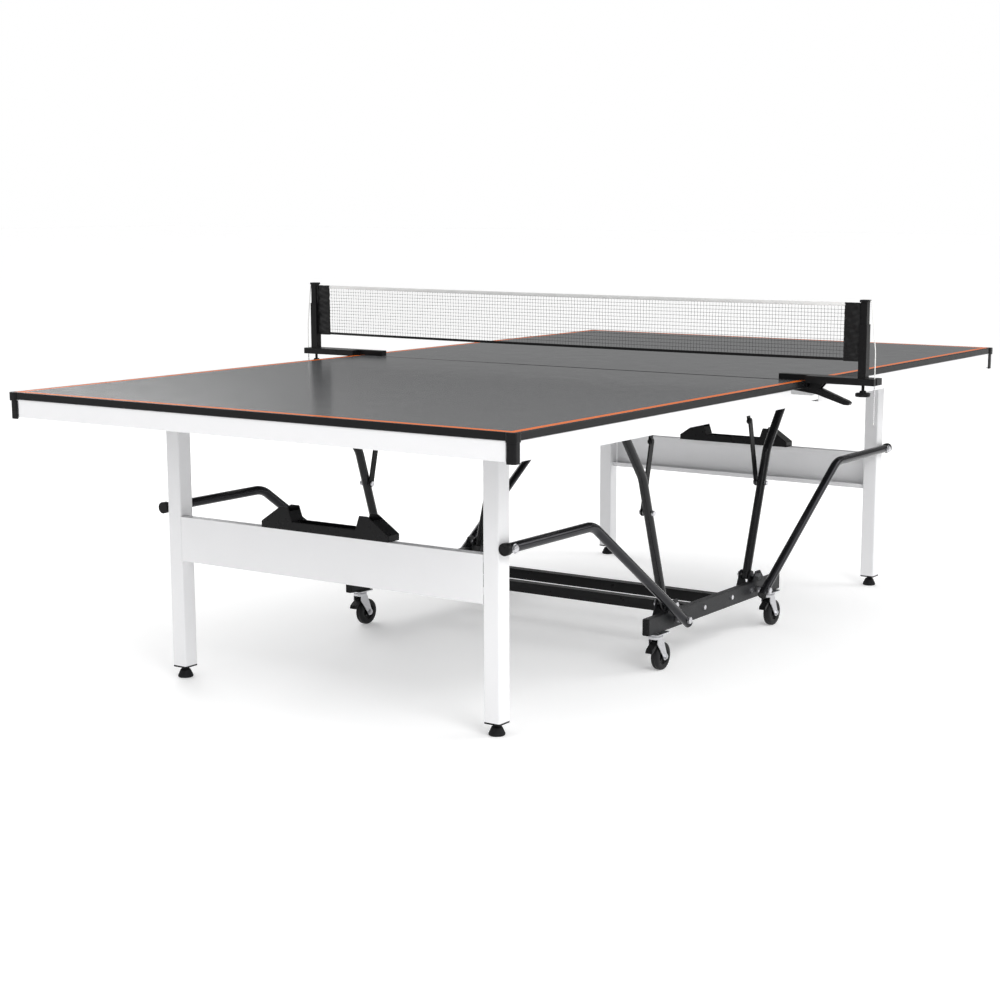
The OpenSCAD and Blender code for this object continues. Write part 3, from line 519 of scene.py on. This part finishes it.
class TABLE_OT_stage(bpy.types.Operator):
    """Sets the camera, the soft lights, the pale backdrop and the floor"""

    bl_idname = "table.stage"
    bl_label = "Stage"

    def execute(self, context):
        scene = context.scene
        lens = bpy.data.cameras.new("camera")
        lens.sensor_width = 36.0
        lens.lens = 68.47
        lens.shift_x, lens.shift_y = -0.0338, 0.0318
        lens.clip_end = 200.0
        camera = bpy.data.objects.new("camera", lens)
        camera.location = (-4.5832, -2.9585, 1.2362)
        turn, tilt = 0.5893, -0.1736
        ahead = Vector((math.cos(tilt) * math.cos(turn), math.cos(tilt) * math.sin(turn), math.sin(tilt)))
        camera.rotation_mode = "QUATERNION"
        camera.rotation_quaternion = ahead.to_track_quat("-Z", "Y")
        scene.collection.objects.link(camera)
        scene.camera = camera
        scene.view_settings.view_transform = "Standard"

        for name, place, size, power in (
            ("key", (-3.2, -4.6, 4.4), 3.2, 150.0),
            ("fill", (3.6, -4.2, 2.8), 3.0, 60.0),
            ("back", (2.5, 5.0, 3.6), 3.5, 110.0),
        ):
            light = bpy.data.lights.new(name, "AREA")
            light.shape = "DISK"
            light.size = size
            light.energy = power
            lamp = bpy.data.objects.new(name, light)
            lamp.location = place
            lamp.rotation_mode = "QUATERNION"
            lamp.rotation_quaternion = (Vector((0, 0, 0.5)) - Vector(place)).to_track_quat("-Z", "Y")
            scene.collection.objects.link(lamp)

        world = bpy.data.worlds.new("studio")
        world.use_nodes = True
        scene.world = world
        tree = world.node_tree
        shader = tree.nodes["Background"]
        kind = tree.nodes.new("ShaderNodeLightPath")
        up = put(tree, "ShaderNodeSeparateXYZ", Vector=tree.nodes.new("ShaderNodeTexCoord").outputs["Generated"])
        sky = put(tree, "ShaderNodeMapRange", Value=up.outputs[2], From_Min=0.0, From_Max=0.9,
                  To_Min=0.42, To_Max=1.0).outputs[0]
        mirrored = reckon(tree, "MULTIPLY", sky, 0.62)
        plain = reckon(tree, "SUBTRACT", 0.86, reckon(
            tree, "MULTIPLY", kind.outputs["Is Glossy Ray"], reckon(tree, "SUBTRACT", 0.86, mirrored)))
        seen = reckon(tree, "MAXIMUM", plain, kind.outputs["Is Camera Ray"])
        shader.inputs["Color"].default_value = (1, 1, 1, 1)
        tree.links.new(seen, shader.inputs["Strength"])

        count, reach = 41, 60
        span = np.linspace(-1, 1, count) * reach
        across, along = np.meshgrid(span, span)
        points = np.stack([across, along, np.zeros_like(across)], -1).reshape(-1, 3)
        index = np.arange(count * count).reshape(count, count)
        quads = np.stack([index[:-1, :-1], index[:-1, 1:], index[1:, 1:], index[1:, :-1]], -1)
        mesh = bpy.data.meshes.new("floor")
        mesh.from_pydata(points.tolist(), [], quads.reshape(-1, 4).tolist())
        floor = bpy.data.objects.new("floor", mesh)
        scene.collection.objects.link(floor)
        mesh.materials.append(finish("pale floor"))
        return {"FINISHED"}


class TABLE_OT_cords(bpy.types.Operator):
    """Lays the net's two tension cords and the bead chains at their ends"""

    bl_idname = "table.cords"
    bl_label = "Tension cords"

    def execute(self, context):
        route = np.array(CORD_ROUTE)
        axle = joint_place("net_knob_left_turn")[1]
        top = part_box("far_edge_band")[1].z
        for hand, side in HANDS.items():
            path = np.stack([np.zeros(len(route)), side * (axle + route[:, 0]), top + route[:, 1]], 1)
            beads_from, pitch, bead = top - 0.004, 0.0052, 0.0023
            place = np.arange(beads_from, path[-1, 2] + bead, -pitch)
            tilt = np.linspace(0, np.pi, 7)
            angle = np.linspace(0, 2 * np.pi, 10, endpoint=False)
            ball = bead * np.stack([
                np.sin(tilt)[:, None] * np.cos(angle), np.sin(tilt)[:, None] * np.sin(angle),
                np.repeat(np.cos(tilt)[:, None], 10, 1),
            ], -1)
            ball[[0, -1]] *= (0.25, 0.25, 1)
            ball[[0, -1], :, :2] = 0.3 * bead * np.stack([np.cos(angle), np.sin(angle)], -1)
            middle = np.stack([np.zeros_like(place), np.full_like(place, path[-1, 1]), place], 1)
            points, faces = many_shells(middle[:, None, None] + ball[None])
            chain = piece(f"bead_chain_{hand}", points, faces, "bright zinc", "net_frame", "zinc_steel")
            points, faces = shell(swept(path, CORD_DIAMETER / 2, (1, 0, 0), 10))
            cord = piece(f"tension_cord_{hand}", points, faces, "white cord", "net_frame", "cord",
                         ["net_cords"] if side > 0 else ())
        return {"FINISHED"}


class TABLE_OT_finishes(bpy.types.Operator):
    """Gives each CAD node its finish and softens its edges"""

    bl_idname = "table.finishes"
    bl_label = "Finishes"

    def execute(self, context):
        for name, made in frame["nodes"].items():
            short = name.removeprefix("near_").removeprefix("far_").rstrip("_1234")
            made.data.materials.clear()
            made.data.materials.append(finish(NODE_FINISH.get(short, USUAL_FINISH)))
            width = EDGE_WIDTH.get(short, USUAL_EDGE)
            if width:
                weld = made.modifiers.new("joined", "WELD")
                weld.merge_threshold = 0.00001
                edges = made.modifiers.new("soft edges", "BEVEL")
                edges.width = width
                edges.segments = 2
                edges.limit_method = "ANGLE"
                edges.angle_limit = math.radians(38)
        return {"FINISHED"}


class TABLE_OT_tubes(bpy.types.Operator):
    """Bends the support tubes and the leg rods with smooth elbows"""

    bl_idname = "table.tubes"
    bl_label = "Bent tubes"

    def execute(self, context):
        sizes = context.scene.table_sizes
        radius = sizes.tube_diameter / 2
        for end, way in SIDES.items():
            foot, fold, rod = (joint_place(f"{end}_{n}") for n in ("tube_swing", "fold", "rod_swing"))
            bend = np.array([way * TUBE_BEND[0], 0, TUBE_BEND[1]])
            knee = np.array([way * ROD_BEND[0], 0, ROD_BEND[1]])
            head = np.array([way * ROD_HEAD[0], 0, ROD_HEAD[1]])
            runs = {
                "support_tubes": ([foot - unit_rows(bend - foot) * TUBE_OVER, bend,
                                   fold + unit_rows(fold - bend) * TUBE_OVER], sizes.tube_radius, "tubes"),
                "leg_rods": ([rod + unit_rows(rod - knee) * ROD_OVER, knee,
                              head + np.array([way * ROD_OVER, 0, 0])], sizes.rod_radius, "rods"),
            }
            for name, (corners, bend_radius, body) in runs.items():
                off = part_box(f"{end}_{name}")[1].y - radius
                route = rounded_route(corners, bend_radius)
                parts = [open_tube(route + np.array([0, side * off, 0]), radius, 0.0015)
                         for side in (1, -1)]
                coat = "gloss tube" if body == "tubes" else "gunmetal rod"
                made = piece(f"{end}_bent_{name}", *joined(parts), coat, f"{end}_{body}",
                             "black_tube", [f"{end}_{name}"])
                crisp(made)
            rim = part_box(f"{end}_leg_rods")[1].y + 0.0002
            nut = [(0.0015, rim), (0.0112, rim), (0.0116, rim + 0.0008), (0.0114, rim + 0.0016),
                   (0.0098, rim + 0.0022), (0.0096, rim + 0.0052), (0.0084, rim + 0.0068),
                   (0.0058, rim + 0.0079), (0.0015, rim + 0.0083)]
            parts = [shell(turned(nut, head, (0, side, 0), 36)) for side in (1, -1)]
            crisp(piece(f"{end}_cap_nuts", *joined(parts), "bright zinc", f"{end}_rods", "zinc_steel"))
        return {"FINISHED"}


class TABLE_OT_casters(bpy.types.Operator):
    """Turns the casters' tyres and moulds their ribbed hubs"""

    bl_idname = "table.casters"
    bl_label = "Caster wheels"

    def execute(self, context):
        half = [
            (0.0225, 0.0102), (0.0245, 0.0110), (0.0300, 0.0110), (0.0335, 0.0104), (0.0358, 0.0090),
            (0.0370, 0.0070), (0.0375, 0.0045), (0.0375, 0.0022), (0.0368, 0.0016), (0.0366, 0.0004),
        ]
        tyre = [(r, -y) for r, y in half] + [(r, y) for r, y in reversed(half)]
        reach = np.array([0.0047, 0.0075, 0.0085, 0.0092, 0.0130, 0.0170, 0.0195, 0.0205, 0.0212, 0.0226])
        rise = np.array([0.0106, 0.0106, 0.0102, 0.0090, 0.0088, 0.0088, 0.0090, 0.0104, 0.0106, 0.0104])
        sunk = np.array([0, 0, 0, 1, 1, 1, 1, 0.3, 0, 0])
        for number in range(1, 5):
            axle = joint_place(f"caster_{number}_roll")
            points, faces = shell(turned(tyre, axle, (0, 1, 0), 72), close_rows=True)
            piece(f"caster_tyre_{number}", points, faces, "tyre rubber", f"caster_{number}_roller",
                  "wheel_rubber", [f"caster_wheel_{number}"])
            angle = np.linspace(0, 2 * np.pi, 100, endpoint=False)
            rib = np.clip(2.4 * np.cos(5 * angle) - 1.2, 0, 1)
            height = rise[:, None] - 0.0032 * sunk[:, None] * (1 - rib)
            radius = np.concatenate([reach, reach[::-1]])[:, None]
            across = np.concatenate([-height, height[::-1]])
            points = axle + np.stack([radius * np.cos(angle), across, radius * np.sin(angle)], -1)
            points, faces = shell(points, close_rows=True)
            hub = piece(f"caster_hub_{number}", points, faces, "moulded plastic",
                        f"caster_{number}_roller", "black_plastic")
            crisp(hub, 50)
        return {"FINISHED"}


class TABLE_OT_net(bpy.types.Operator):
    """Weaves the net, its tape, its band and its sleeves"""

    bl_idname = "table.net"
    bl_label = "Net"

    def execute(self, context):
        sizes = context.scene.table_sizes
        low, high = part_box("net_cloth")
        half = high.y
        inner = half - sizes.sleeve_width
        foot, crown = low.z + sizes.band_height, high.z - sizes.tape_height

        def sag(y):
            """How far the net hangs down at y: a parabola, most in the middle."""
            return 0.0022 * (1 - (y / half) ** 2)

        radius = sizes.thread / 2
        corner = np.array([0, 2, 4]) * np.pi / 3
        columns = np.linspace(-inner, inner, int(round(2 * inner / sizes.net_pitch)) + 1)
        rows = np.linspace(foot, crown, int(round((crown - foot) / sizes.net_pitch)) + 1)
        y, z = np.meshgrid(columns, rows, indexing="ij")
        lean = 0.0005 * np.sin(31 * y + 40 * z)
        spot = np.stack([0.0006 * np.sin(90 * z + 17 * y), y + lean, z - sag(y)], -1)
        ring = radius * np.stack([np.cos(corner), np.sin(corner), 0 * corner], -1)
        upright = many_shells(spot[:, :, None] + ring)
        spot = np.swapaxes(spot, 0, 1)[1:-1]
        ring = radius * np.stack([np.cos(corner), 0 * corner, np.sin(corner)], -1)
        level = many_shells(spot[:, :, None] + ring)
        net = piece("net_threads", *joined([upright, level]), "net thread", "net_frame", "net_fabric",
                    ["net_cloth"])

        def strip(name, z0, z1, thick, finish_name, reach, ripple):
            """A folded strip: a flat oval ring carried along Y, with a slow ripple."""
            run = np.linspace(-reach, reach, 161)
            angle = np.linspace(0, 2 * np.pi, 16, endpoint=False)
            wave = ripple * np.sin(23 * run) * np.cos(9 * run)
            oval = np.sign(np.cos(angle)) * np.abs(np.cos(angle)) ** 0.7
            rise = np.sign(np.sin(angle)) * np.abs(np.sin(angle)) ** 0.45
            points = np.stack([
                wave[:, None] + thick / 2 * oval, np.repeat(run[:, None], 16, 1),
                (z0 + z1) / 2 - sag(run)[:, None] + (z1 - z0) / 2 * rise,
            ], -1)
            return piece(name, *shell(points), finish_name, "net_frame", "net_fabric")

        tape = strip("net_tape", crown - 0.0005, high.z, 0.0024, "net tape", inner + 0.004, 0.0004)
        band = strip("net_band", low.z + 0.0022, foot + 0.0005, 0.0022, "net band", inner + 0.004, 0.0006)
        for hand, side in HANDS.items():
            share = np.linspace(0, 1, 90)
            angle = np.linspace(0, 2 * np.pi, 40, endpoint=False)
            s, a = np.meshgrid(share, angle, indexing="ij")
            across = np.sign(np.cos(a)) * np.abs(np.cos(a)) ** 0.8
            fold = (0.35 * np.sin(34 * s + 2.4 * across + 1.5 * side) + 0.25 * np.sin(61 * s - 3.1 * across)
                    + 0.2 * np.sin(17 * s + 6 * across))
            thick = 0.0050 * (1 + 0.75 * fold) * np.sin(a)
            width = (half - inner) / 2
            points = np.stack([
                thick, side * (inner + width + across * width * (1 + 0.02 * np.sin(40 * s))),
                low.z + 0.001 + (high.z - low.z - 0.002) * s + 0.0012 * np.sin(5 * a) * (1 - s) * s,
            ], -1)
            points[..., 1] = np.clip(points[..., 1], -half, half)
            piece(f"net_sleeve_{hand}", *shell(points), "net band", "net_frame", "net_fabric")
        return {"FINISHED"}


class TABLE_OT_knobs(bpy.types.Operator):
    """Turns the fluted height knobs under the net's posts"""

    bl_idname = "table.knobs"
    bl_label = "Height knobs"

    def execute(self, context):
        for hand, side in HANDS.items():
            low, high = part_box(f"net_knob_{hand}")
            radius = (high.x - low.x) / 2
            centre = (0, (low.y + high.y) / 2, 0)
            z0 = low.z
            profile = [
                (0.002, z0 + 0.0012), (0.010, z0 + 0.0012), (0.011, z0), (radius - 0.002, z0),
                (radius - 0.0005, z0 + 0.0012), (radius, z0 + 0.003), (radius, z0 + 0.0072),
                (radius - 0.0006, z0 + 0.009), (radius - 0.0025, z0 + 0.010), (0.0095, z0 + 0.010),
                (0.0088, z0 + 0.0125), (0.0082, z0 + 0.0155), (0.0042, z0 + 0.016), (0.004, z0 + 0.0165),
                (0.004, high.z), (0.001, high.z),
            ]

            def flute(rows, angle):
                """Shallow waves round the rim that fade out towards the middle."""
                rim = np.clip((rows[:, :1] - 0.012) / 0.006, 0, 1)
                return 1 - 0.035 * rim * (1 - np.cos(12 * angle)) / 2

            points, faces = shell(turned(profile, centre, (0, 0, 1), 96, flute))
            knob = piece(f"fluted_knob_{hand}", points, faces, "moulded plastic", f"net_knob_{hand[0]}",
                         "black_plastic", [f"net_knob_{hand}"])
            crisp(knob, 50)
        return {"FINISHED"}


class TABLE_PT_panel(bpy.types.Panel):
    """Lists the sizes, the colours and the steps of the table"""

    bl_idname = "TABLE_PT_panel"
    bl_label = "Table Tennis"
    bl_space_type = "VIEW_3D"
    bl_region_type = "UI"
    bl_category = "Table Tennis"

    def draw(self, context):
        for step in STEPS:
            self.layout.operator(step.bl_idname)
        for group in (context.scene.table_sizes, context.scene.table_colours):
            for name in group.__annotations__:
                self.layout.prop(group, name)


STEPS = (
    TABLE_OT_stage,
    TABLE_OT_cords,
    TABLE_OT_finishes,
    TABLE_OT_tubes,
    TABLE_OT_casters,
    TABLE_OT_net,
    TABLE_OT_knobs,
)
CLASSES = (TableSizes, TableColours, *STEPS, TABLE_PT_panel)


def register():
    for kind in CLASSES:
        bpy.utils.register_class(kind)
    bpy.types.Scene.table_sizes = PointerProperty(type=TableSizes)
    bpy.types.Scene.table_colours = PointerProperty(type=TableColours)


def unregister():
    del bpy.types.Scene.table_colours
    del bpy.types.Scene.table_sizes
    for kind in reversed(CLASSES):
        bpy.utils.unregister_class(kind)


def main():
    """Registers the add-on and runs its steps in order."""
    register()
    for step in STEPS:
        group, name = step.bl_idname.split(".")
        if getattr(getattr(bpy.ops, group), name)() != {"FINISHED"}:
            raise RuntimeError(f"{step.bl_label} did not finish")


if __name__ == "__main__":
    main()
